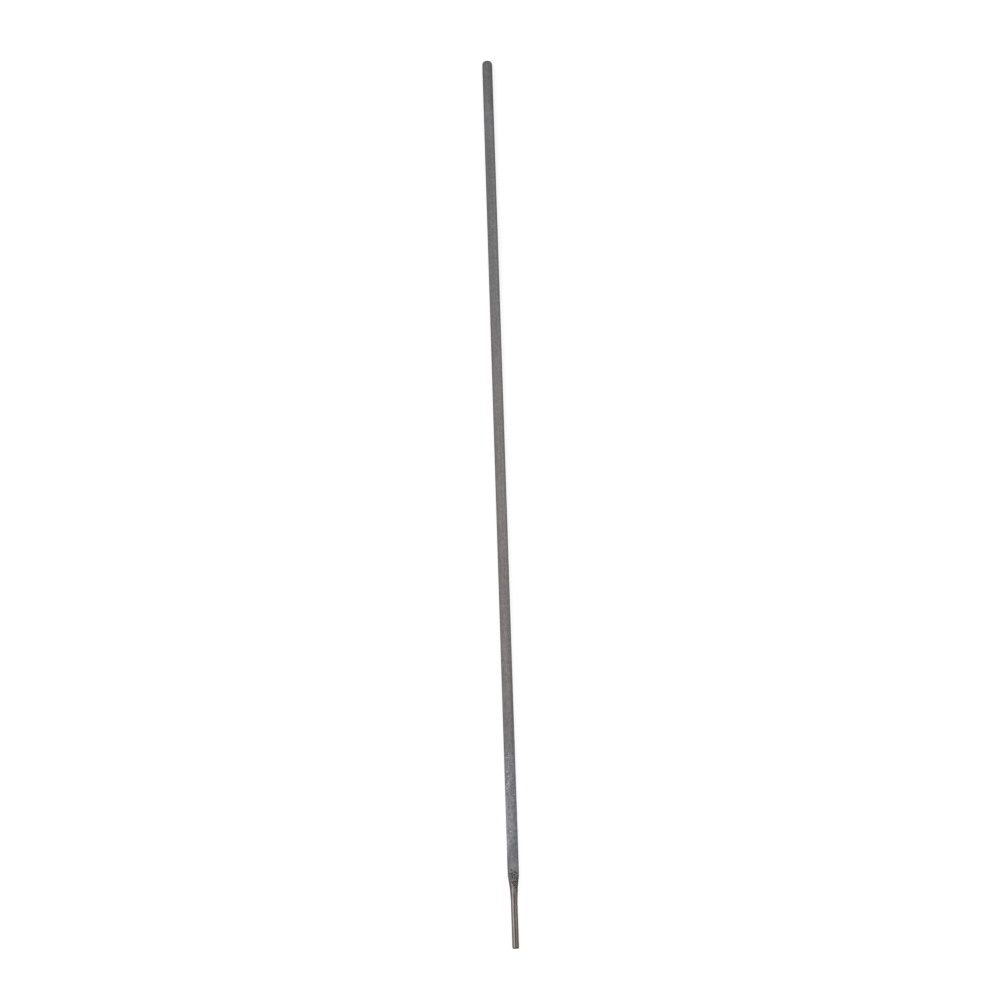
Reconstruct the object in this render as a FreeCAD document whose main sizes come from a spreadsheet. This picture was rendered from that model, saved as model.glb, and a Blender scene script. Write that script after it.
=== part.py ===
import FreeCAD, Part
import os
import Sketcher

# A stick welding electrode, in millimetres: a drawn steel core wire inside an extruded flux coating.
# It lies along +Y, with the grip end towards -Y and the strike end towards +Y. The origin is on the axis,
# at the middle of the bare grip, where a holder's jaws close.
# Stations in the sketches are counted along the rod from the cut face of the grip end.

driving_sizes = {
    # core wire
    "electrode_length": 355.6,
    "wire_diameter": 2.38,
    "grip_length": 16.3,
    "brush_depth": 0.02,
    "brush_runout": 1.5,
    "grip_edge_break": 0.12,
    # flux coating
    "coating_thickness": 0.81,
    "feather_thickness": 0.05,
    "taper_length": 10.9,
    "shoulder_length": 3.0,
    "strike_round_length": 1.05,
    "strike_land": 0.06,
}

# Radii and stations that both pieces share, as expressions of the sheet.
wire_radius = "sizes.wire_diameter / 2"
grip_radius = f"({wire_radius} - sizes.brush_depth)"
grip_end = "0"
bare_end = "sizes.grip_length"
brushed_end = "(sizes.grip_length + sizes.brush_runout)"
strike_end = "sizes.electrode_length"

# The edge that starts at a corner of a half section: straight, or an arc that runs along the rod at one end.
straight = "straight"
level_at_start = "level at start"
level_at_end = "level at end"

# Two places nearer than this are the same.
same_place = 1e-6

# Numbers by which a sketch knows its own origin, its axes and an edge's points.
origin_index = -1
radius_axis_index = -1
rod_axis_index = -2
start_index = 1
end_index = 2
centre_index = 3


def fill_sheet(doc):
    """Writes each driving size into a cell of its own and names the cell."""
    sheet = doc.addObject("Spreadsheet::Sheet", "sizes")
    for row, (name, number) in enumerate(driving_sizes.items(), start=1):
        sheet.set(f"A{row}", str(number))
        sheet.setAlias(f"A{row}", name)
    doc.recompute()


def add_body(doc, name):
    """An empty body whose station zero lies half a grip before the origin."""
    body = doc.addObject("PartDesign::Body", name)
    body.Label = name
    body.setExpression("Placement.Base.y", "-sizes.grip_length / 2")
    return body


def add_sketch(body, name):
    """A sketch on the body's XY plane, where X is the radius and Y the station."""
    plane = next(f for f in body.Origin.OriginFeatures if f.Role == "XY_Plane")
    sketch = body.newObject("Sketcher::SketchObject", name)
    sketch.AttachmentSupport = [(plane, "")]
    sketch.MapMode = "FlatFace"
    return sketch


def arc_level_at(level, other):
    """The arc that leaves one end along the rod and bends to the other end."""
    rise = other.x - level.x
    radius = ((other.y - level.y) ** 2 + rise**2) / (2 * rise)
    centre = level + FreeCAD.Vector(radius, 0, 0)
    middle = (level + other) / 2 - centre
    middle = centre + middle.normalize() * abs(radius)
    return Part.Arc(level, middle, other)


def point_on(sketch, edge, corner):
    """Which of the edge's two ends lies on the corner."""
    return min((start_index, end_index), key=lambda end: sketch.getPoint(edge, end).distanceToPoint(corner))


def hold_corner(sketch, edge, end, radius, station):
    """Fixes a corner by the expressions for its radius and station, where 0 puts it on an axis."""
    rules = [
        ("DistanceX", rod_axis_index, radius),
        ("DistanceY", radius_axis_index, station),
    ]
    for kind, axis, expression in rules:
        if expression == "0":
            sketch.addConstraint(Sketcher.Constraint("PointOnObject", edge, end, axis))
        else:
            distance = sketch.evalExpression(expression)
            rule = Sketcher.Constraint(kind, origin_index, start_index, edge, end, float(distance))
            index = sketch.addConstraint(rule)
            sketch.setExpression(f"Constraints[{index}]", expression)


def draw_outline(sketch, outline):
    """Draws a closed half section, from a radius, a station and the kind of the edge that starts there."""
    corners = [
        FreeCAD.Vector(float(sketch.evalExpression(radius)), float(sketch.evalExpression(station)), 0)
        for radius, station, kind in outline
    ]
    last = len(corners) - 1
    for edge, (radius, station, kind) in enumerate(outline):
        after = 0 if edge == last else edge + 1
        if kind == level_at_start:
            sketch.addGeometry(arc_level_at(corners[edge], corners[after]))
        elif kind == level_at_end:
            sketch.addGeometry(arc_level_at(corners[after], corners[edge]))
        else:
            sketch.addGeometry(Part.LineSegment(corners[edge], corners[after]))
    for edge, (radius, station, kind) in enumerate(outline):
        before = last if edge == 0 else edge - 1
        after = 0 if edge == last else edge + 1
        end_before = point_on(sketch, before, corners[edge])
        end = point_on(sketch, edge, corners[edge])
        sketch.addConstraint(Sketcher.Constraint("Coincident", before, end_before, edge, end))
        hold_corner(sketch, edge, end, radius, station)
        if kind != straight:
            level_corner = corners[edge] if kind == level_at_start else corners[after]
            level_end = point_on(sketch, edge, level_corner)
            sketch.addConstraint(Sketcher.Constraint("Horizontal", edge, centre_index, edge, level_end))


def revolve(body, sketch, name):
    """Turns the half section once round the rod's axis."""
    turned = body.newObject("PartDesign::Revolution", name)
    turned.Profile = sketch
    turned.ReferenceAxis = (sketch, ["V_Axis"])
    turned.Angle = 360
    sketch.Visibility = False
    return turned


def make_core_wire(doc):
    """The steel wire: a brushed bare grip, a short run-out cone under the coating, then full diameter."""
    body = add_body(doc, "core_wire")
    sketch = add_sketch(body, "wire_section")
    outline = [
        ("0", grip_end, straight),
        (grip_radius, grip_end, straight),
        (grip_radius, bare_end, straight),
        (wire_radius, brushed_end, straight),
        (wire_radius, strike_end, straight),
        ("0", strike_end, straight),
    ]
    draw_outline(sketch, outline)
    turned = revolve(body, sketch, "drawn_wire")
    doc.recompute()
    rim = [
        f"Edge{number}"
        for number, edge in enumerate(turned.Shape.Edges, start=1)
        if isinstance(edge.Curve, Part.Circle) and abs(edge.Curve.Center.y) < same_place
    ]
    edge_break = body.newObject("PartDesign::Chamfer", "sheared_edge")
    edge_break.Base = (turned, rim)
    edge_break.setExpression("Size", "sizes.grip_edge_break")
    return body


def make_flux_coating(doc):
    """The coating: its bore follows the wire, and it tapers at the grip and rounds at the strike end."""
    coating_radius = f"({wire_radius} + sizes.coating_thickness)"
    feather_radius = f"({grip_radius} + sizes.feather_thickness)"
    taper_start = "(sizes.grip_length + sizes.taper_length)"
    land_radius = f"({wire_radius} + sizes.strike_land)"
    round_start = f"({strike_end} - sizes.strike_round_length)"
    # The taper is two arcs that meet on the straight line between its ends, so they share a tangent there.
    turn_share = "sizes.shoulder_length / sizes.taper_length"
    turn_radius = f"({coating_radius} - ({coating_radius} - {feather_radius}) * {turn_share})"
    turn_station = f"({taper_start} - sizes.shoulder_length)"
    body = add_body(doc, "flux_coating")
    sketch = add_sketch(body, "coating_section")
    outline = [
        (grip_radius, bare_end, straight),
        (wire_radius, brushed_end, straight),
        (wire_radius, strike_end, straight),
        (land_radius, strike_end, level_at_end),
        (coating_radius, round_start, straight),
        (coating_radius, taper_start, level_at_start),
        (turn_radius, turn_station, level_at_end),
        (feather_radius, bare_end, straight),
    ]
    draw_outline(sketch, outline)
    revolve(body, sketch, "extruded_coating")
    return body


def check_document(doc, bodies):
    """Stops if any object failed or a piece isn't one valid solid."""
    for item in doc.Objects:
        if "Invalid" in item.State or "Error" in item.State:
            raise RuntimeError(f"{item.Name} failed: {item.State}")
    for body in bodies:
        if body.Shape.isNull() or not body.Shape.isValid() or len(body.Shape.Solids) != 1:
            raise RuntimeError(f"{body.Label} isn't one valid solid")


doc = FreeCAD.newDocument("stick_welding_electrode")
fill_sheet(doc)
bodies = [make_core_wire(doc), make_flux_coating(doc)]
doc.recompute()
check_document(doc, bodies)
os.makedirs("parts", exist_ok=True)
for body in bodies:
    body.Shape.exportStep(f"parts/{body.Label}.step")
    box = body.Shape.optimalBoundingBox()
    reach = f"y {box.YMin:.3f} to {box.YMax:.3f}, radius {box.ZMax:.3f}"
    print(f"{body.Label}: {reach}, {body.Shape.Volume:.2f} mm3")
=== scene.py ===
import math

import bmesh
import bpy
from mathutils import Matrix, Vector, noise


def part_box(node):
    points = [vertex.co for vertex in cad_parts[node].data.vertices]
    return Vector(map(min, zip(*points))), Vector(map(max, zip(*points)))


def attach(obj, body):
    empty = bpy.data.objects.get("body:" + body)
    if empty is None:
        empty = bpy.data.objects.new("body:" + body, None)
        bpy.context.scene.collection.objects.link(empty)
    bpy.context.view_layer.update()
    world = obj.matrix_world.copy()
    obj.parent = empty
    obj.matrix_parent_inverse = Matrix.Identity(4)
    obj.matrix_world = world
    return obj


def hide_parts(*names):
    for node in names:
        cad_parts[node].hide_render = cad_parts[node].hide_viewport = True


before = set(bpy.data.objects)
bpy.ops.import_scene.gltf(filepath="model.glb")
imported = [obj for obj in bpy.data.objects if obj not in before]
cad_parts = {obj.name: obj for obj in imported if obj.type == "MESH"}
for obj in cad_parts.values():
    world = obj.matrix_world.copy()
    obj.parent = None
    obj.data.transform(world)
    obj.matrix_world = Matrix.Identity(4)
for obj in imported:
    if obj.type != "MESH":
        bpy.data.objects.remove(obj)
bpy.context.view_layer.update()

# A stick welding electrode lying on a pale floor, with its bare grip towards the camera.
# Lengths are in millimetres unless a note says otherwise, and become metres where a mesh is made.
# A place round the rod is an angle: 0 is the top, and a quarter turn is the side towards +X.
mm = 0.001
fullTurn = 2 * math.pi
segments = 120

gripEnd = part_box("core_wire")[0].y / mm
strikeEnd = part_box("core_wire")[1].y / mm
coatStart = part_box("flux_coating")[0].y / mm
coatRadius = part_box("flux_coating")[1].z / mm


def clamp(value, low=0.0, high=1.0):
    return max(low, min(high, value))


# 0 below low, 1 above high and a soft step between them.
def smoothRise(value, low, high):
    t = clamp((value - low) / (high - low))
    return t * t * (3 - 2 * t)


def mix(low, high, share):
    return low + (high - low) * share


# The point at an angle, a radius and a station of the rod.
def onRod(angle, radius, y):
    return Vector((radius * math.sin(angle), y, radius * math.cos(angle)))


# Smooth noise from -1 to 1. Its number of cells to the millimetre is given round the rod and along it.
def grainAt(point, across, along, shift=0.0):
    return noise.noise(Vector((point.x * across + shift, point.y * along, point.z * across - shift)))


# Evenly spaced stations from start up to end, without end itself.
def stationsBetween(start, end, step):
    count = max(1, round((end - start) / step))
    return [start + (end - start) * k / count for k in range(count)]


# The radius along an arc that runs along the rod at its level end, as the solids have it.
def arcLevelAt(levelY, levelRadius, otherY, otherRadius):
    rise = otherRadius - levelRadius
    bend = ((otherY - levelY) ** 2 + rise**2) / (2 * rise)

    def radiusAt(y):
        reach = math.sqrt(bend**2 - (y - levelY) ** 2)
        return levelRadius + bend - math.copysign(reach, bend)

    return radiusAt


# Joins rings of points into a tube of quads, and returns the points and the faces with their numbers.
def skinRings(mesh, rings, closed):
    made = [[mesh.verts.new(point * mm) for point in ring] for ring in rings]
    faces = []
    last = len(made) if closed else len(made) - 1
    for ring in range(last):
        here, after = made[ring], made[(ring + 1) % len(made)]
        for segment in range(segments):
            beside = (segment + 1) % segments
            corners = (here[segment], here[beside], after[beside], after[segment])
            faces.append((mesh.faces.new(corners), ring, segment))
    return made, faces


# A place in a field of a bake map, which is given by its left, bottom, width and height.
def fieldSpot(along, turn, field):
    left, bottom, width, height = field
    return left + width * along, bottom + height * turn


# Turns the bmesh into a smooth shaded object with crisp edges at its corners.
def finishMesh(mesh, name, sharpAngle):
    bmesh.ops.recalc_face_normals(mesh, faces=mesh.faces)
    data = bpy.data.meshes.new(name)
    mesh.to_mesh(data)
    mesh.free()
    data.shade_smooth()
    data.set_sharp_from_angle(angle=math.radians(sharpAngle))
    piece = bpy.data.objects.new(name, data)
    bpy.context.scene.collection.objects.link(piece)
    return piece


# An empty material with its output, its node tree and the place of each point in millimetres.
def newFinish(name):
    finish = bpy.data.materials.new(name)
    finish.use_nodes = True
    tree = finish.node_tree
    tree.nodes.clear()
    place = tree.nodes.new("ShaderNodeTexCoord").outputs["Object"]
    return finish, tree, stretch(tree, place, (1 / mm, 1 / mm, 1 / mm))


# Links a socket to another one, or sets its plain value.
def plug(tree, socket, value):
    if isinstance(value, bpy.types.NodeSocket):
        tree.links.new(value, socket)
    elif isinstance(value, tuple) and len(socket.default_value) == 4:
        socket.default_value = (*value, 1)
    else:
        socket.default_value = value


# The place with each direction scaled by its own amount.
def stretch(tree, place, scale):
    node = tree.nodes.new("ShaderNodeMapping")
    plug(tree, node.inputs["Vector"], place)
    plug(tree, node.inputs["Scale"], scale)
    return node.outputs["Vector"]


# Noise from about 0 to 1 with scale cells to the unit of place.
def grain(tree, place, scale, detail=3.0, roughness=0.55):
    node = tree.nodes.new("ShaderNodeTexNoise")
    plug(tree, node.inputs["Vector"], place)
    plug(tree, node.inputs["Scale"], scale)
    plug(tree, node.inputs["Detail"], detail)
    plug(tree, node.inputs["Roughness"], roughness)
    return node.outputs["Fac"]


# A soft step from bottom to top while value goes from low to high.
def rise(tree, value, low, high, bottom=0.0, top=1.0):
    node = tree.nodes.new("ShaderNodeMapRange")
    node.interpolation_type = "SMOOTHSTEP"
    plug(tree, node.inputs["Value"], value)
    plug(tree, node.inputs["From Min"], low)
    plug(tree, node.inputs["From Max"], high)
    plug(tree, node.inputs["To Min"], bottom)
    plug(tree, node.inputs["To Max"], top)
    return node.outputs["Result"]


# One Math node.
def calculate(tree, operation, first, second, third=0.0):
    node = tree.nodes.new("ShaderNodeMath")
    node.operation = operation
    for socket, value in zip(node.inputs, (first, second, third)):
        plug(tree, socket, value)
    return node.outputs["Value"]


# The values multiplied with each other.
def product(tree, first, *others):
    for other in others:
        first = calculate(tree, "MULTIPLY", first, other)
    return first


# The base with value added, times factor.
def plus(tree, base, value, factor=1.0):
    return calculate(tree, "MULTIPLY_ADD", value, factor, base)


# 1 between the middle two of four stations, with soft steps down to 0 at the outer two.
def between(tree, value, span):
    first, full, last, end = span
    return product(tree, rise(tree, value, first, full), rise(tree, value, end, last))


# Plugs the colour socket of a Mix node, which has sockets of that name for other kinds too.
def plugColour(tree, node, name, value):
    plug(tree, next(s for s in node.inputs if s.name == name and s.type == "RGBA"), value)


# Mixes two colours by share.
def blendColour(tree, share, first, second, how="MIX"):
    node = tree.nodes.new("ShaderNodeMix")
    node.data_type = "RGBA"
    node.blend_type = how
    plug(tree, node.inputs["Factor"], share)
    plugColour(tree, node, "A", first)
    plugColour(tree, node, "B", second)
    return next(s for s in node.outputs if s.name == "Result" and s.type == "RGBA")


# A bump of that depth in millimetres, on top of an earlier one.
def relief(tree, height, depth, under=None):
    node = tree.nodes.new("ShaderNodeBump")
    plug(tree, node.inputs["Height"], height)
    plug(tree, node.inputs["Distance"], depth * mm)
    if under:
        plug(tree, node.inputs["Normal"], under)
    return node.outputs["Normal"]


# The place's X, Y and Z.
def splitPlace(tree, place):
    node = tree.nodes.new("ShaderNodeSeparateXYZ")
    plug(tree, node.inputs["Vector"], place)
    return node.outputs["X"], node.outputs["Y"], node.outputs["Z"]


# A number that the mesh holds at each point.
def marked(tree, name):
    node = tree.nodes.new("ShaderNodeAttribute")
    node.attribute_name = name
    return node.outputs["Fac"]


# The Principled shader that the finish ends in.
def addShader(tree, **inputs):
    shader = tree.nodes.new("ShaderNodeBsdfPrincipled")
    for name, value in inputs.items():
        plug(tree, shader.inputs[name.replace("_", " ")], value)
    output = tree.nodes.new("ShaderNodeOutputMaterial")
    tree.links.new(shader.outputs["BSDF"], output.inputs["Surface"])
    return shader


studio = {
    "lens": 90.0,
    "azimuth": -1.704,  # degrees
    "elevation": 67.79,  # degrees
    "distance": 925.4,
    "aim": (-0.46, 158.95, 0.0),
    "skyStrength": 0.27,
    "floorRadius": 5000.0,
    "floorSweep": 1500.0,  # radius of the sweep at the rim
    "sweepSteps": 12,
    "floorColour": (0.42, 0.42, 0.42),
    "floorGlow": (0.68, 1.0),  # near the rod and far away, where less lamp light falls
    "floorGlowReach": (300.0, 1700.0),
    "lampDistance": 1150.0,
    # Each lamp has its degrees from straight up towards +X and towards -Y, its width and length,
    # the station of its middle and its radiance.
    "lamps": {
        "left_lamp": (-43.0, 0.0, 860.0, 1500.0, 90.0, 2.75),
        "right_lamp": (41.0, 0.0, 700.0, 1300.0, 420.0, 1.28),
        "rear_lamp": (20.0, 42.0, 950.0, 950.0, 150.0, 2.60),
    },
}


# The camera at the photograph's height and distance.
def addCamera():
    data = bpy.data.cameras.new("camera")
    data.lens = studio["lens"]
    data.clip_start = 0.01
    data.clip_end = 100
    camera = bpy.data.objects.new("camera", data)
    azimuth = math.radians(studio["azimuth"])
    elevation = math.radians(studio["elevation"])
    level = math.cos(elevation)
    back = Vector((math.sin(azimuth) * level, -math.cos(azimuth) * level, math.sin(elevation)))
    camera.location = (Vector(studio["aim"]) + back * studio["distance"]) * mm
    camera.rotation_euler = (math.pi / 2 - elevation, 0, azimuth)
    bpy.context.scene.collection.objects.link(camera)
    bpy.context.scene.camera = camera


# A soft lamp turned to face the rod.
def addLamp(name, tilt, lean, width, length, station, glow):
    data = bpy.data.lights.new(name, "AREA")
    data.shape = "RECTANGLE"
    data.size = width * mm
    data.size_y = length * mm
    data.energy = glow * math.pi * data.size * data.size_y
    lamp = bpy.data.objects.new(name, data)
    tilt, lean = math.radians(tilt), math.radians(lean)
    reach = studio["lampDistance"]
    lamp.location = onRod(tilt, reach * math.cos(lean), station - reach * math.sin(lean)) * mm
    lamp.rotation_euler = (lean, tilt, 0)
    bpy.context.scene.collection.objects.link(lamp)


# Pale floor whose glow brings it to white for the camera, and which keeps the rod's shadow.
def floorFinish():
    finish = bpy.data.materials.new("pale_floor")
    finish.use_nodes = True
    tree = finish.node_tree
    tree.nodes.clear()
    path = tree.nodes.new("ShaderNodeLightPath")
    seen = calculate(tree, "MAXIMUM", path.outputs["Is Camera Ray"], path.outputs["Is Glossy Ray"])
    seen = calculate(tree, "MAXIMUM", seen, path.outputs["Is Transmission Ray"])
    paint = tree.nodes.new("ShaderNodeBsdfDiffuse")
    plug(tree, paint.inputs["Color"], studio["floorColour"])
    away = tree.nodes.new("ShaderNodeVectorMath")
    away.operation = "LENGTH"
    plug(tree, away.inputs[0], tree.nodes.new("ShaderNodeTexCoord").outputs["Object"])
    near, far = studio["floorGlowReach"]
    strength = rise(tree, away.outputs["Value"], near * mm, far * mm, *studio["floorGlow"])
    glow = tree.nodes.new("ShaderNodeEmission")
    plug(tree, glow.inputs["Strength"], calculate(tree, "MULTIPLY", seen, strength))
    both = tree.nodes.new("ShaderNodeAddShader")
    tree.links.new(paint.outputs["BSDF"], both.inputs[0])
    tree.links.new(glow.outputs["Emission"], both.inputs[1])
    output = tree.nodes.new("ShaderNodeOutputMaterial")
    tree.links.new(both.outputs["Shader"], output.inputs["Surface"])
    return finish


# A round floor that sweeps up at its rim, so no view shows its edge.
def addFloor():
    radius, sweep, steps = studio["floorRadius"], studio["floorSweep"], studio["sweepSteps"]
    profile = [(radius * share, 0.0) for share in (0.02, 0.1, 0.3, 0.6, 1.0)]
    for step in range(1, steps + 1):
        turn = math.pi / 2 * step / steps
        profile.append((radius + sweep * math.sin(turn), sweep * (1 - math.cos(turn))))
    profile.append((radius + sweep, sweep * 2))
    mesh = bmesh.new()
    rings = []
    for reach, height in profile:
        ring = [onRod(fullTurn * k / segments, reach, 0) for k in range(segments)]
        rings.append([Vector((point.x, point.z, height - coatRadius)) for point in ring])
    made = skinRings(mesh, rings, closed=False)[0]
    mesh.faces.new(made[0])
    floor = finishMesh(mesh, "floor", 60)
    floor.data.materials.append(floorFinish())


# An even pale sky all round.
def setSky():
    world = bpy.data.worlds.new("sky")
    world.use_nodes = True
    sky = world.node_tree.nodes["Background"]
    sky.inputs["Color"].default_value = (1, 1, 1, 1)
    sky.inputs["Strength"].default_value = studio["skyStrength"]
    bpy.context.scene.world = world


bpy.context.scene.view_settings.view_transform = "Standard"
addCamera()
setSky()
addFloor()
for lampName, lampValues in studio["lamps"].items():
    addLamp(lampName, *lampValues)
print("studio done")


wire = {
    # form
    "radius": 1.19,
    "gripRadius": 1.17,
    "brushRunout": 1.5,  # cone from the grip's radius to the full one
    "edgeRound": 0.16,  # rolled edge of the cut face
    "edgeSteps": 6,
    "faceShares": (0.08, 0.2, 0.32, 0.44, 0.56, 0.68, 0.78, 0.87, 0.94, 1.0),  # rings of a cut face
    "dieLines": 0.006,  # depth of the drawn lines
    "shearDip": 0.05,  # how far the cut face falls in
    "shearGrain": 0.016,
    "strikeGrain": 0.010,
    "strikeBreak": 0.01,  # how far the face at the strike end stops short of the rim
    "ringStep": 0.16,
    "fineEnd": 13.5,  # last station that may show below the coating
    "hiddenStep": 12.0,
    # bake map: middles and half width of the cut faces, and the fields of the grip and the hidden length
    "gripFaceMiddle": (0.17, 0.82),
    "strikeFaceMiddle": (0.51, 0.82),
    "faceSpan": 0.15,
    "gripField": (0.01, 0.01, 0.98, 0.62),
    "hiddenField": (0.70, 0.67, 0.28, 0.30),
    # finish
    "steel": (0.215, 0.188, 0.180),
    "darkSteel": (0.105, 0.091, 0.086),
    "paleLine": (0.33, 0.288, 0.275),
    "cutSteel": (0.085, 0.08, 0.076),
    "sawnSteel": (0.34, 0.33, 0.32),
    "smear": (0.16, 0.155, 0.15),
    "tornDark": (0.040, 0.038, 0.037),
    "metallic": 1.0,
    "edgeTint": (0.30, 0.29, 0.28),  # dull skin: little gloss at a glancing view
    "roughness": (0.22, 0.36),
    # painted highlight along the rolled edge of the grip
    "edgeHighlightColour": (0.42, 0.375, 0.36),
    # stations of the finish
    "edgeHighlightSpan": (0.02, 0.30),  # painted highlight on the rolled edge, counted from the cut face
    "edgeHighlightShare": 0.3,
    "handledSpan": (-2.5, 2.5),  # stain at the end of the grip
    "handledShare": 0.42,
    "dustySpan": (3.5, 9.5),
    "dustyShare": 0.3,
}


# The drawn wire, a little thinner where the grip is brushed.
def wireRadiusAt(y):
    return mix(wire["gripRadius"], wire["radius"], clamp((y - coatStart) / wire["brushRunout"]))


# Rings from near the axis out to the rim of a cut face, sunk inward by depthAt.
def cutFaceRings(y, inward, radius, depthAt):
    rings = []
    for share in wire["faceShares"]:
        ring = []
        for k in range(segments):
            point = onRod(fullTurn * k / segments, radius * share, y)
            point.y += inward * depthAt(point, share)
            ring.append(point)
        rings.append(ring)
    return rings


# The shear face: a shallow dip that leans to one side, with torn grain on its lower half.
def gripCutDepth(point, share):
    lean = 0.5 + 0.5 * point.z / wire["gripRadius"]
    torn = smoothRise(-point.z + 0.25 * grainAt(point, 2.0, 2.0), -0.2, 0.2)
    rough = (0.5 + 0.5 * grainAt(point, 6.0, 1.0)) * mix(0.35, 1.0, torn)
    return wire["shearDip"] * (1 - share**4) * mix(0.3, 1.0, lean) + wire["shearGrain"] * rough


# The sawn face at the strike end, with fine parallel marks.
def strikeCutDepth(point, share):
    marks = 0.5 + 0.5 * noise.noise(Vector((point.x * 1.2, 3.0, point.z * 9.0)))
    return wire["strikeGrain"] * marks * (1 - share**6)


# The rolled edge between the grip's cut face and its side.
def rolledEdgeRings():
    rings = []
    for step in range(1, wire["edgeSteps"] + 1):
        share = step / wire["edgeSteps"]
        turn = math.pi / 2 * share
        ring = []
        for k in range(segments):
            angle = fullTurn * k / segments
            # The blade rolls the upper edge in and leaves the lower one crisper.
            roll = wire["edgeRound"] * mix(0.55, 1.0, 0.5 + 0.5 * math.cos(angle))
            y = gripEnd + roll * (1 - math.cos(turn))
            radius = wire["gripRadius"] - wire["edgeRound"] * (1 - math.sin(turn))
            point = onRod(angle, radius, y)
            point.y += wire["shearGrain"] * (0.5 + 0.5 * grainAt(point, 6.0, 1.0)) * (1 - share)
            ring.append(point)
        rings.append(ring)
    return rings


# The grip, the cone and the hidden length, with drawn lines where they show.
def drawnRings():
    stations = stationsBetween(gripEnd + wire["edgeRound"] * 1.3, wire["fineEnd"], wire["ringStep"])
    stations += stationsBetween(wire["fineEnd"], strikeEnd, wire["hiddenStep"]) + [strikeEnd]
    rings = []
    for y in stations:
        fade = 1 - smoothRise(y, coatStart - 0.2, coatStart + 2.5)
        ring = []
        for k in range(segments):
            angle = fullTurn * k / segments
            point = onRod(angle, wireRadiusAt(y), y)
            lines = 0.5 + 0.5 * grainAt(point, 4.2, 0.05)
            lines += 0.35 * (0.5 + 0.5 * grainAt(point, 9.0, 0.12, 7.0))
            ring.append(onRod(angle, wireRadiusAt(y) - wire["dieLines"] * lines * fade, y))
        rings.append(ring)
    return rings


# The place of a cut face's point on the bake map.
def faceSpot(vertex, middle):
    reach = wire["faceSpan"] / (wire["radius"] * mm)
    return middle[0] + vertex.co.x * reach, middle[1] + vertex.co.z * reach


# Lays the wire on its bake map. Its side runs from the ring faceEnd to bodyEnd, and shows up to lastFine.
def mapWire(bakeMap, made, faces, faceEnd, lastFine, bodyEnd):
    for face, ring, segment in faces:
        beside = (segment + 1) % segments
        for loop in face.loops:
            at = ring + (loop.vert in made[ring + 1])
            turned = loop.vert in (made[ring][beside], made[ring + 1][beside])
            turn = (segment + turned) / segments
            if ring < faceEnd:
                spot = faceSpot(loop.vert, wire["gripFaceMiddle"])
            elif ring >= bodyEnd:
                spot = faceSpot(loop.vert, wire["strikeFaceMiddle"])
            elif ring < lastFine:
                spot = fieldSpot((at - faceEnd) / (lastFine - faceEnd), turn, wire["gripField"])
            else:
                spot = fieldSpot((at - lastFine) / (bodyEnd - lastFine), turn, wire["hiddenField"])
            loop[bakeMap].uv = spot


# The wire as rings: cut face, rolled edge, grip, cone, hidden length and the face at the strike end.
def makeWire():
    rings = cutFaceRings(gripEnd, 1, wire["gripRadius"] - wire["edgeRound"], gripCutDepth)
    faceCount = len(rings)
    rings += rolledEdgeRings() + drawnRings()
    bodyCount = len(rings)
    rings += reversed(cutFaceRings(strikeEnd, -1, wire["radius"] - wire["strikeBreak"], strikeCutDepth))
    mesh = bmesh.new()
    cutMark = mesh.verts.layers.float.new("cutFace")
    bakeMap = mesh.loops.layers.uv.new("OFBake")
    made, faces = skinRings(mesh, rings, closed=False)
    for ring, points in enumerate(made):
        share = 1.0 if ring >= bodyCount else clamp(1 - (ring - faceCount + 1) / wire["edgeSteps"])
        for vertex in points:
            vertex[cutMark] = share
    shown = [ring for ring in range(bodyCount) if rings[ring][0].y <= wire["fineEnd"] + 0.01]
    mapWire(bakeMap, made, faces, faceCount - 1, shown[-1], bodyCount - 1)
    for ring, middle in ((0, wire["gripFaceMiddle"]), (-1, wire["strikeFaceMiddle"])):
        cap = mesh.faces.new(made[ring])
        for loop in cap.loops:
            loop[bakeMap].uv = faceSpot(loop.vert, middle)
    return finishMesh(mesh, "core_wire_drawn", 50)


# The brushed steel's colour, with its lengthwise lines and finer scratches.
def brushedSteel(tree, place):
    broad = grain(tree, stretch(tree, place, (1, 0.01, 1)), 1.7, 2.0, 0.5)
    lines = grain(tree, stretch(tree, place, (1, 0.012, 1)), 5.0, 4.0, 0.6)
    fine = grain(tree, stretch(tree, place, (1, 0.05, 1)), 16.0, 3.0, 0.6)
    tone = plus(tree, product(tree, lines, 0.55), broad, 0.45)
    colour = blendColour(tree, rise(tree, tone, 0.40, 0.60), wire["darkSteel"], wire["steel"])
    colour = blendColour(tree, rise(tree, fine, 0.56, 0.74, 0, 0.5), colour, wire["paleLine"])
    return colour, lines, fine


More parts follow.
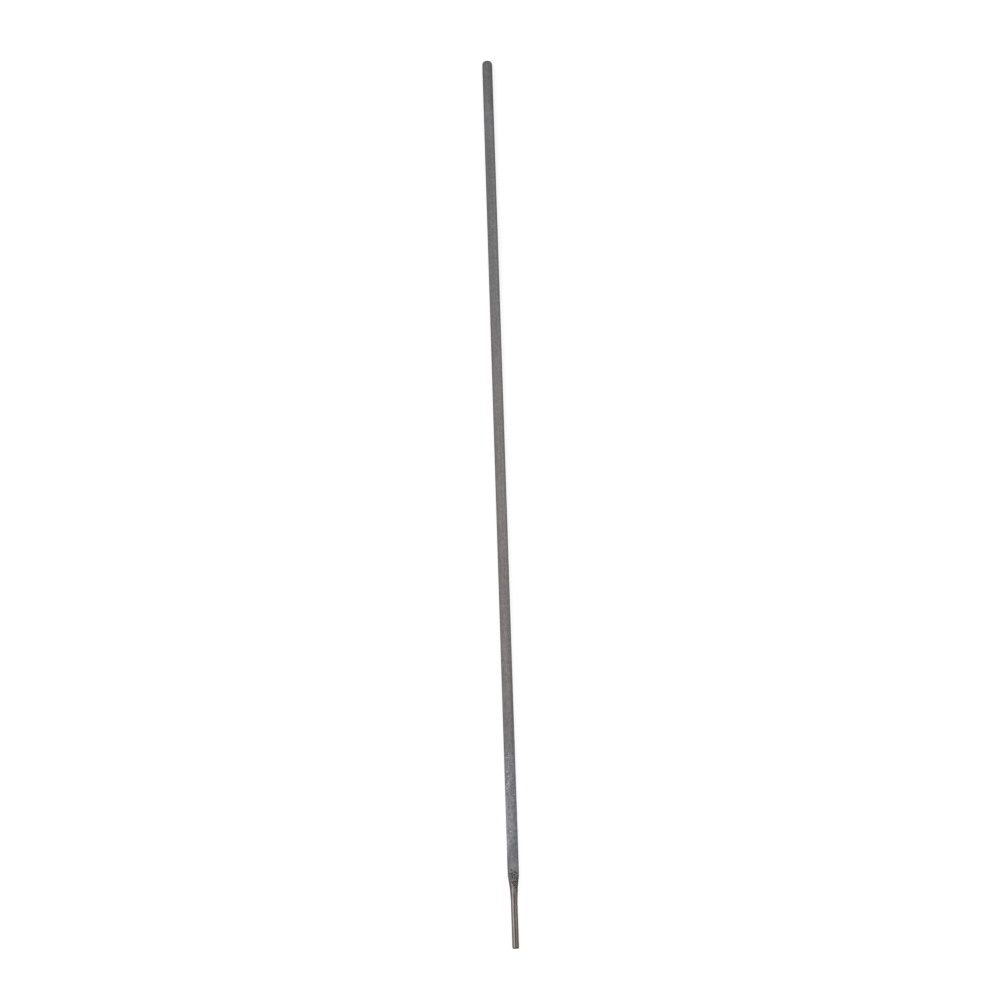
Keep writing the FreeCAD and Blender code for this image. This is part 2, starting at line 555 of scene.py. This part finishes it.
# Drawn steel, brushed at the grip: lengthwise lines, dull brown grey, torn cut faces.
def wireFinish():
    finish, tree, place = newFinish("drawn_steel")
    x, y = splitPlace(tree, place)[:2]
    cut = marked(tree, "cutFace")
    colour, lines, fine = brushedSteel(tree, place)
    cloud = grain(tree, stretch(tree, place, (1, 0.35, 1)), 1.1, 4.0)
    speck = grain(tree, place, 7.0, 4.0, 0.7)
    colour = blendColour(tree, rise(tree, cloud, 0.50, 0.72, 0, 0.3), colour, wire["darkSteel"])
    # Painted highlight along the rolled edge just behind the dark torn face, narrower in places.
    low, high = wire["edgeHighlightSpan"]
    edgeHighlight = rise(tree, plus(tree, y, cloud, -0.5), gripEnd + high, gripEnd + low, 0, wire["edgeHighlightShare"])
    colour = blendColour(tree, edgeHighlight, colour, wire["edgeHighlightColour"])
    # Handling has stained the tip.
    low, high = wire["handledSpan"]
    handled = rise(tree, plus(tree, y, cloud, 3.0), high, low, 0, wire["handledShare"])
    colour = blendColour(tree, handled, colour, wire["darkSteel"])
    # A film of flux dust stays on the last millimetres below the coating.
    powder = grain(tree, stretch(tree, place, (1, 0.3, 1)), 3.0, 6.0, 0.7)
    dusty = rise(tree, y, *wire["dustySpan"])
    dusty = product(tree, dusty, rise(tree, powder, 0.35, 0.75), wire["dustyShare"])
    colour = blendColour(tree, dusty, colour, wire["smear"])
    # The grip's cut face is torn and dark, and the one at the strike end is sawn and brighter.
    torn = blendColour(tree, rise(tree, speck, 0.40, 0.62), wire["darkSteel"], wire["cutSteel"])
    torn = blendColour(tree, rise(tree, x, -0.3, 0.5), torn, wire["tornDark"])
    sawn = blendColour(tree, rise(tree, speck, 0.40, 0.62), wire["steel"], wire["sawnSteel"])
    faces = blendColour(tree, rise(tree, y, coatStart, strikeEnd), torn, sawn)
    colour = blendColour(tree, rise(tree, cut, 0.1, 0.5), colour, faces)

    rough = rise(tree, fine, 0.35, 0.65, *wire["roughness"])
    rough = plus(tree, rough, dusty, 0.3)
    rough = plus(tree, rough, cut, 0.2)
    metal = plus(tree, wire["metallic"], dusty, -0.7)
    bumps = relief(tree, lines, 0.006)
    bumps = relief(tree, fine, 0.003, bumps)
    bumps = relief(tree, product(tree, speck, cut), 0.02, bumps)
    shader = addShader(tree, Base_Color=colour, Metallic=metal, Roughness=rough, Normal=bumps)
    plug(tree, shader.inputs["Specular Tint"], wire["edgeTint"])
    return finish


wirePiece = makeWire()
wirePiece.data.materials.append(wireFinish())
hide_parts("core_wire")
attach(wirePiece, "root")
print("core wire done")


coating = {
    # form
    "radius": coatRadius,
    "bore": 1.19,
    "featherRadius": 1.22,
    "taperLength": 10.9,
    "shoulderLength": 3.0,
    "strikeRound": 1.05,
    "strikeLand": 0.06,
    "streakDepth": 0.010,
    "grainDepth": 0.005,
    "brushGrain": 0.10,  # depth of the pits that the wire brush left
    "brushLift": 0.035,  # how far the grit between them stands proud
    "brushCrumb": 0.03,  # finer crumbs on both
    "strikeGrain": 0.035,
    "leastWall": 0.02,  # thinnest that the coating gets
    "ragReach": 1.2,  # how far the thin edge wanders along the wire
    "blendEnd": 13.0,  # station above which the rings are plain again
    "fineStep": 0.1,
    "fineReach": 4.0,  # how far the fine rings go on past the taper
    "bodyStep": 0.75,
    "boreStep": 8.0,
    "boreFineStep": 0.3,
    "strikeSteps": 14,
    # bake map: the outside as bands of equal length, the bore as a thin one, and the gap round each
    "mapBands": 5,
    "boreBand": 0.05,
    "mapGap": 0.004,
    # stations of the brushed marks
    "apex": 19.5,  # top of the dark grit, highest on the upper side
    "apexTurn": -0.15,
    "apexDrop": 2.8,
    "polishTop": 13.5,  # below it the thin coating is burnished
    "polishLean": 1.5,  # further down on the side towards +X
    "polishStep": 1.3,
    "pitSpan": (18.0, 15.5),  # pits lie closer from the first to the second
    # finish
    "grey": (0.210, 0.2065, 0.2075),
    "darkGrey": (0.128, 0.126, 0.127),
    "warm": (1.025, 0.965, 0.965),
    "cool": (0.84, 0.845, 0.86),
    "tip": (0.95, 0.95, 0.95),
    # painted shade over the rounding of the strike end
    "roundingShade": (0.76, 0.76, 0.76),
    "pore": (0.045, 0.044, 0.044),
    "flake": (0.33, 0.325, 0.325),
    "fleck": (0.32, 0.26, 0.21),
    "rubbed": (0.285, 0.28, 0.28),
    "frost": (0.235, 0.238, 0.252),
    "skin": (0.203, 0.204, 0.219),
    "skinDark": (0.108, 0.109, 0.119),
    "skinPale": (0.400, 0.403, 0.420),
    "scuff": (0.200, 0.200, 0.197),
    # a dark stain where the burnished edge dulls towards the grit, and painted shade on the side towards -X
    "stainAndShade": (0.085, 0.078, 0.074),
    "lowGrit": (0.83, 0.81, 0.80),
    "grit": (0.165, 0.164, 0.164),
    "gritDark": (0.036, 0.035, 0.035),
    "gritPale": (0.44, 0.44, 0.44),
    "polish": (0.205, 0.186, 0.180),
    "polishMetal": 0.75,
    "roughness": (0.62, 0.80),
    "polishRoughness": 0.40,
    "edgeDullness": 0.12,  # how much rougher the bared edge is than the wire
    "specular": 0.12,
    # stations of the finish: where each begins and is full, then where it is last full and ends
    "warmSpan": (60.0, 95.0, 150.0, 275.0),
    "coolSpan": (190.0, 340.0),
    "rubSpan": (80.0, 150.0, 290.0, 335.0),
    "rubAcross": (0.35, 0.85, 1.45, 1.95),
    "frostSpan": (306.0, 316.0, 322.0, 331.0),
    "tipSpan": (322.0, 338.0),
    # how far the painted shade reaches on either side of where the rounding starts
    "roundingShadeReach": 0.6,
    "fleckSpan": (70.0, 82.0, 155.0, 215.0),
    "fleckThick": (86.0, 94.0, 112.0, 122.0),
    "skinSpan": (66.2, 63.8),
    "wornSpan": (26.0, 32.0),  # darker skin below it, all the dust above it
    "filmSpan": (22.5, 26.5, 42.0, 52.0),
    "scuffSpan": (23.0, 20.5),
    "lowGritSpan": (16.5, 13.5),
    "dullSpan": (11.8, 14.4),
    "bareSpan": (5.0, 1.2),  # counted from the coating's start
    # stations of the painted shade on the side towards -X
    "sideSpan": (9.0, 11.0, 21.0, 25.0),
    "sideFade": (15.8, 13.8),  # the painted shade is weaker above
}

taperStart = coatStart + coating["taperLength"]
turnStation = taperStart - coating["shoulderLength"]
turnShare = coating["shoulderLength"] / coating["taperLength"]
turnRadius = mix(coating["radius"], coating["featherRadius"], turnShare)
roundStart = strikeEnd - coating["strikeRound"]
landRadius = coating["bore"] + coating["strikeLand"]
brushMarkNames = ("gritty", "polished", "pits")
lowerTaper = arcLevelAt(coatStart, coating["featherRadius"], turnStation, turnRadius)
upperTaper = arcLevelAt(taperStart, coating["radius"], turnStation, turnRadius)
strikeArc = arcLevelAt(roundStart, coating["radius"], strikeEnd, landRadius)


# The coating's outside before any roughness.
def coatRadiusAt(y):
    if y < turnStation:
        return lowerTaper(max(y, coatStart))
    if y < taperStart:
        return upperTaper(y)
    if y < roundStart:
        return coating["radius"]
    return strikeArc(min(y, strikeEnd))


# Where the coating's thin edge lies: ragged, and lower on the right.
def rimStationAt(angle):
    left = 0.5 - 0.5 * math.sin(angle)
    around = Vector((2.3 * math.sin(angle), 0.7, 2.3 * math.cos(angle)))
    waves = 0.5 + 0.5 * noise.noise(around * 1.1)
    teeth = 0.5 + 0.5 * noise.noise(around * 4.5)
    return coatStart + coating["ragReach"] * (0.6 * waves * mix(0.3, 1.0, left) + 0.4 * teeth)


# The wire brush's marks at a place: the dark grit, the burnished thin edge and the pits, from 0 to 1.
def brushMarksAt(angle, y):
    if y > coating["apex"] + 3:  # above every mark
        return 0.0, 0.0, 0.0
    point = onRod(angle, coating["radius"], y)
    wander = 0.45 * grainAt(point, 0.9, 0.5) + 0.75 * grainAt(point, 2.1, 1.1, 5.0)
    aside = abs(math.sin((angle - coating["apexTurn"]) / 2))
    upper = coating["apex"] - coating["apexDrop"] * aside + wander
    right = smoothRise(math.sin(angle), 0.2, 0.7)
    lower = coating["polishTop"] - coating["polishLean"] * math.sin(angle) - coating["polishStep"] * right
    lower += 0.5 * grainAt(point, 1.1, 0.5, 9.0) + 0.8 * grainAt(point, 2.6, 0.9, 13.0)
    lower += 1.3 * grainAt(point, 4.2, 0.9, 17.0)
    polished = 1 - smoothRise(y, lower - mix(0.6, 1.3, right), lower + mix(0.5, 0.9, right))
    gritty = (1 - smoothRise(y, upper - 0.5, upper + 0.5)) * (1 - polished)
    coarse = 0.15 * grainAt(point, 1.2, 1.1, 23.0) + 0.9 * grainAt(point, 2.9, 2.6, 31.0)
    coarse += 0.5 * grainAt(point, 5.4, 4.9, 37.0)
    coarse += 0.10 * smoothRise(y, *coating["pitSpan"])
    pits = smoothRise(coarse, -0.12, 0.20) * gritty
    # A few pits lie scattered above the grit as well.
    stray = 1 - smoothRise(y, upper + 0.2, upper + 2.4)
    pits = max(pits, smoothRise(coarse, 0.22, 0.48) * stray * (1 - polished) * 0.5)
    return gritty, polished, pits


# How deep the surface lies under the plain form, in millimetres.
def coatRelief(angle, y, gritty, polished, pits):
    point = onRod(angle, coating["radius"], y)
    streaks = 0.5 + 0.5 * grainAt(point, 2.4, 0.03)
    grit = 0.5 + 0.5 * grainAt(point, 3.6, 3.6, 11.0)
    depth = coating["streakDepth"] * streaks * (1 + polished) + coating["grainDepth"] * grit
    crumbs = grainAt(point, 4.2, 4.2, 51.0) + 0.5 * grainAt(point, 8.0, 8.0, 57.0)
    depth += coating["brushGrain"] * pits - coating["brushLift"] * gritty
    depth += coating["brushCrumb"] * crumbs * max(gritty, pits)
    strike = smoothRise(y, roundStart - 1.5, roundStart + 0.4)
    return depth + strike * coating["strikeGrain"] * (0.5 + 0.5 * grainAt(point, 2.8, 2.8, 41.0))


# The station of a ring at an angle. Rings near the thin edge lean so that they follow it.
def leanedStation(base, angle):
    if base >= coating["blendEnd"]:
        return base
    share = (base - coatStart) / (coating["blendEnd"] - coatStart)
    return mix(rimStationAt(angle), coating["blendEnd"], share)


# One ring of the outside with its brush marks.
def outerRing(base):
    ring, marks = [], []
    for k in range(segments):
        angle = fullTurn * k / segments
        y = leanedStation(base, angle)
        thin = 1.0
        if base < coating["blendEnd"]:
            rim = rimStationAt(angle)
            thin = mix(0.5, 1.0, smoothRise(y, rim - 0.2, rim + 1.5))
        gritty, polished, pits = brushMarksAt(angle, y)
        wall = (coatRadiusAt(y) - wireRadiusAt(y)) * thin
        sunk = coatRelief(angle, y, gritty, polished, pits)
        wall = max(coating["leastWall"], wall - min(sunk, wall * 0.45))
        radius = min(wireRadiusAt(y) + wall, coating["radius"])
        ring.append(onRod(angle, radius, y))
        marks.append((gritty, polished, pits))
    return ring, marks


# One ring of the bore, on the wire's own surface.
def boreRing(base):
    angles = [fullTurn * k / segments for k in range(segments)]
    stations = [leanedStation(base, angle) for angle in angles]
    return [onRod(angle, wireRadiusAt(y), y) for angle, y in zip(angles, stations)]


# Lays the coating on its bake map: the outside as bands, one above the other, and the bore below them.
def mapCoating(bakeMap, made, faces, bases):
    bands, boreBand, gap = coating["mapBands"], coating["boreBand"], coating["mapGap"]
    span = (strikeEnd - coatStart) / bands
    bandHeight = (1 - boreBand) / bands
    outerCount = len(bases)
    for face, ring, segment in faces:
        after = made[(ring + 1) % len(made)]
        beside = (segment + 1) % segments
        for loop in face.loops:
            far = loop.vert in (after[segment], after[beside])
            turned = loop.vert in (made[ring][beside], after[beside])
            turn = (segment + turned) / segments
            if ring < outerCount - 1:
                band = min(bands - 1, int((bases[ring] - coatStart) / span))
                along = (bases[ring + far] - coatStart - band * span) / (span + coating["bodyStep"])
                low, height = boreBand + band * bandHeight, bandHeight
            else:
                along = (ring - outerCount + 1 + far) / (len(made) - outerCount + 1)
                low, height = 0.0, boreBand
            loop[bakeMap].uv = fieldSpot(along, turn, (gap, low + gap, 1 - 2 * gap, height - 2 * gap))


# The coating as one closed skin: outside from the thin edge to the strike end, then back along the bore.
def makeCoating():
    fineStop, steps = taperStart + coating["fineReach"], coating["strikeSteps"]
    bases = stationsBetween(coatStart, fineStop, coating["fineStep"])
    bases += stationsBetween(fineStop, roundStart, coating["bodyStep"])
    for k in range(steps + 1):
        bases.append(roundStart + coating["strikeRound"] * math.sin(math.pi / 2 * k / steps))
    rings, marks = [], []
    for base in bases:
        ring, ringMarks = outerRing(base)
        rings.append(ring)
        marks.append(ringMarks)
    back = stationsBetween(strikeEnd, coating["blendEnd"], coating["boreStep"])
    back += stationsBetween(coating["blendEnd"], coatStart, coating["boreFineStep"]) + [coatStart]
    for base in back:
        rings.append(boreRing(base))
        marks.append([(0.0, 1.0, 0.0)] * segments)
    mesh = bmesh.new()
    layers = [mesh.verts.layers.float.new(name) for name in brushMarkNames]
    bakeMap = mesh.loops.layers.uv.new("OFBake")
    made, faces = skinRings(mesh, rings, closed=True)
    for points, ringMarks in zip(made, marks):
        for vertex, pointMarks in zip(points, ringMarks):
            for layer, mark in zip(layers, pointMarks):
                vertex[layer] = mark
    mapCoating(bakeMap, made, faces, bases)
    return finishMesh(mesh, "flux_coating_baked", 50)


# The noises that the coating's colours and bumps share.
def coatGrains(tree, place):
    grains = {
        "drag": grain(tree, stretch(tree, place, (1, 0.02, 1)), 2.2, 4.0, 0.65),
        "fineDrag": grain(tree, stretch(tree, place, (1, 0.06, 1)), 7.0, 3.0, 0.6),
        "patches": grain(tree, stretch(tree, place, (1, 0.5, 1)), 2.2, 3.0, 0.6),
        "mottle": grain(tree, place, 0.55, 5.0, 0.6),
        "grit": grain(tree, place, 5.5, 4.0, 0.7),
        "coarse": grain(tree, place, 4.6, 6.0, 0.75),
        "slow": grain(tree, stretch(tree, place, (0.12, 0.03, 0.12)), 1.0, 2.0),
    }
    tone = plus(tree, product(tree, grains["drag"], 0.25), grains["fineDrag"], 0.22)
    for name, weight in (("patches", 0.33), ("mottle", 0.20), ("slow", 0.12)):
        tone = plus(tree, tone, grains[name], weight)
    grains["tone"] = tone
    return grains


# The baked flux itself: warmer along the middle, cooler and darker towards the strike end.
def bakedColour(tree, place, grains):
    x, y, z = splitPlace(tree, place)
    speck = grain(tree, place, 9.0, 2.0, 0.5)
    flakes = grain(tree, stretch(tree, place, (1, 0.6, 1)), 2.7, 1.0, 0.5)
    flecks = grain(tree, stretch(tree, place, (1, 0.6, 1)), 2.3, 2.0, 0.5)
    body = blendColour(tree, rise(tree, grains["tone"], 0.45, 0.68), coating["darkGrey"], coating["grey"])
    body = blendColour(tree, rise(tree, grains["grit"], 0.58, 0.72, 0, 0.3), body, coating["skinPale"])
    body = blendColour(tree, rise(tree, speck, 0.60, 0.70, 0, 0.45), body, coating["pore"])
    body = blendColour(tree, rise(tree, flakes, 0.62, 0.72, 0, 0.30), body, coating["flake"])
    body = blendColour(tree, between(tree, y, coating["warmSpan"]), body, coating["warm"], "MULTIPLY")
    body = blendColour(tree, rise(tree, y, *coating["coolSpan"]), body, coating["cool"], "MULTIPLY")
    # A paler rubbed line on the upper right side.
    rubbed = product(
        tree,
        between(tree, y, coating["rubSpan"]),
        between(tree, x, coating["rubAcross"]),
        rise(tree, z, 0.0, 0.6),
        rise(tree, grains["patches"], 0.36, 0.66, 0.15, 0.62),
    )
    body = blendColour(tree, rubbed, body, coating["rubbed"])
    # A cooler frosted patch behind the strike end, and painted shade over its rounding.
    frost = rise(tree, grains["mottle"], 0.35, 0.70, 0.1, 0.4)
    frost = product(tree, between(tree, y, coating["frostSpan"]), frost)
    body = blendColour(tree, frost, body, coating["frost"])
    body = blendColour(tree, rise(tree, y, *coating["tipSpan"]), body, coating["tip"], "MULTIPLY")
    reach = coating["roundingShadeReach"]
    roundingShade = rise(tree, y, roundStart - reach, roundStart + reach)
    body = blendColour(tree, roundingShade, body, coating["roundingShade"], "MULTIPLY")
    # Tan flecks, close together between two stations and scattered further on.
    scattered = between(tree, y, coating["fleckSpan"])
    scattered = product(tree, scattered, rise(tree, flecks, 0.62, 0.72, 0, 0.45))
    thick = product(
        tree,
        between(tree, y, coating["fleckThick"]),
        rise(tree, grains["slow"], 0.40, 0.55, 0.3, 1),
        rise(tree, x, 1.0, -0.5, 0.35, 1),
        rise(tree, flecks, 0.55, 0.67, 0, 0.75),
    )
    return blendColour(tree, calculate(tree, "MAXIMUM", scattered, thick), body, coating["fleck"])


# Adds the bluish skin near the grip. Its pale powdery dust is thicker on the side towards -X.
def addSkin(tree, place, grains, body):
    x, y = splitPlace(tree, place)[:2]
    blotch = plus(tree, product(tree, grains["tone"], 0.5), grain(tree, place, 0.9, 5.0, 0.7), 0.6)
    cloud = grain(tree, stretch(tree, place, (1, 0.6, 1)), 0.6, 4.0, 0.65)
    cloud = plus(tree, cloud, rise(tree, x, 0.9, -1.6, -0.16, 0.08))
    powder = grain(tree, place, 1.7, 4.0, 0.68)
    skin = blendColour(tree, rise(tree, blotch, 0.46, 0.66), coating["skinDark"], coating["skin"])
    # It is darker and less dusty close to the grit.
    low, high = coating["wornSpan"]
    worn = plus(tree, y, x, -2.0)
    darker = product(tree, rise(tree, worn, high, low, 0, 0.6), rise(tree, x, 1.5, 0.0, 0.15, 1))
    skin = blendColour(tree, darker, skin, coating["skinDark"])
    dust = product(
        tree,
        rise(tree, cloud, 0.38, 0.60, 0.2, 1),
        rise(tree, powder, 0.50, 0.63, 0, 0.95),
        rise(tree, worn, low, high, 0.45, 1),
    )
    skin = blendColour(tree, dust, skin, coating["skinPale"])
    film = product(tree, rise(tree, x, -1.0, -1.9, 0, 0.4), between(tree, y, coating["filmSpan"]))
    skin = blendColour(tree, film, skin, coating["skinPale"])
    # The brush scuffed it just above the grit.
    scuff = rise(tree, y, *coating["scuffSpan"], 0, 0.9)
    scuff = product(tree, scuff, rise(tree, blotch, 0.44, 0.62, 0.5, 1))
    skin = blendColour(tree, scuff, skin, coating["scuff"])
    share = rise(tree, plus(tree, y, grains["mottle"], 6.0), *coating["skinSpan"])
    return blendColour(tree, share, body, skin)


# Adds the grit below the skin, where the brush left dark pits with crumbs and pale chips between them.
def addGrit(tree, place, grains, marks, body):
    x, y = splitPlace(tree, place)[:2]
    gritty, polished, pits = marks
    coarse = grains["coarse"]
    crumbs = rise(tree, coarse, 0.34, 0.66, 0.5, 1.4)
    crumbled = blendColour(tree, 1.0, coating["grit"], crumbs, "MULTIPLY")
    body = blendColour(tree, rise(tree, gritty, 0.0, 0.9), body, crumbled)
    hollow = calculate(tree, "ADD", pits, plus(tree, 0.5, coarse, -1.0))
    body = blendColour(tree, rise(tree, hollow, 0.15, 0.85), body, coating["gritDark"])
    chips = plus(tree, grain(tree, place, 4.2, 3.0, 0.6), rise(tree, x, 0.4, -1.6, 0, 0.05))
    chips = product(
        tree,
        rise(tree, chips, 0.56, 0.65, 0, 0.9),
        rise(tree, gritty, 0.2, 0.8),
        rise(tree, pits, 0.8, 0.3, 0.2, 1),
    )
    body = blendColour(tree, chips, body, coating["gritPale"])
    body = blendColour(tree, rise(tree, y, *coating["lowGritSpan"]), body, coating["lowGrit"], "MULTIPLY")
    # Dark scale lines its lower edge.
    seam = product(tree, rise(tree, polished, 0.05, 0.35), rise(tree, polished, 0.95, 0.6, 0, 0.7))
    return blendColour(tree, seam, body, coating["gritDark"])


# Where painted shade darkens the side towards -X, past the grit and onto the burnished edge.
def sidePaintedShade(tree, place, grains, gritty):
    x, y = splitPlace(tree, place)[:2]
    across = plus(tree, plus(tree, x, y, 0.06), grains["patches"], 0.4)
    return product(
        tree,
        rise(tree, across, 0.32, -0.03, 0, 0.95),
        between(tree, y, coating["sideSpan"]),
        calculate(tree, "SUBTRACT", 1.0, gritty),
        rise(tree, y, *coating["sideFade"], 0.4, 1),
    )


# Baked flux: matte grey with lengthwise drag lines, a bluish dusty skin near the grip and a brushed taper.
def coatingFinish():
    finish, tree, place = newFinish("baked_flux")
    y = splitPlace(tree, place)[1]
    marks = [marked(tree, name) for name in brushMarkNames]
    gritty, polished, pits = marks
    grains = coatGrains(tree, place)
    body = bakedColour(tree, place, grains)
    body = addSkin(tree, place, grains, body)
    body = addGrit(tree, place, grains, marks, body)
    # The thin edge is burnished along the rod, duller towards the grit, and runs out into the brushed steel.
    steel, lines, scratches = brushedSteel(tree, place)
    high, low = coating["bareSpan"]
    bareness = rise(tree, y, coatStart + high, coatStart + low)
    smeared = blendColour(tree, rise(tree, lines, 0.36, 0.64, 0, 0.55), coating["polish"], steel)
    bare = blendColour(tree, bareness, smeared, steel)
    bare = blendColour(tree, rise(tree, y, *coating["dullSpan"], 0, 0.45), bare, coating["stainAndShade"])
    shine = plus(tree, plus(tree, polished, grains["coarse"], 0.8), lines, 0.4)
    shine = rise(tree, shine, 1.05, 1.45)
    body = blendColour(tree, shine, body, bare)
    # Painted shade on the side towards -X darkens it and takes away most of its metal.
    side = sidePaintedShade(tree, place, grains, gritty)
    body = blendColour(tree, side, body, coating["stainAndShade"])

    rough = rise(tree, grains["fineDrag"], 0.35, 0.65, *coating["roughness"])
    rough = plus(tree, rough, pits, 0.1)
    bareRough = rise(tree, scratches, 0.35, 0.65, *wire["roughness"])
    bareRough = calculate(tree, "ADD", bareRough, coating["edgeDullness"])
    bareRough = rise(tree, bareness, 0.0, 1.0, coating["polishRoughness"], bareRough)
    rough = rise(tree, shine, 0.0, 1.0, rough, bareRough)
    metal = rise(tree, bareness, 0.0, 1.0, coating["polishMetal"], wire["metallic"])
    # less metal under the painted shade on the side towards -X
    metal = product(tree, shine, metal, plus(tree, 1.0, side, -0.9))
    bumps = relief(tree, grains["drag"], 0.020)
    bumps = relief(tree, grains["fineDrag"], 0.012, bumps)
    bumps = relief(tree, grains["grit"], 0.016, bumps)
    bumps = relief(tree, product(tree, grains["coarse"], gritty), 0.09, bumps)
    shader = addShader(tree, Base_Color=body, Metallic=metal, Roughness=rough, Normal=bumps)
    plug(tree, shader.inputs["Specular IOR Level"], coating["specular"])
    plug(tree, shader.inputs["Specular Tint"], wire["edgeTint"])
    return finish


coatingPiece = makeCoating()
coatingPiece.data.materials.append(coatingFinish())
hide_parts("flux_coating")
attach(coatingPiece, "root")
print("flux coating done")
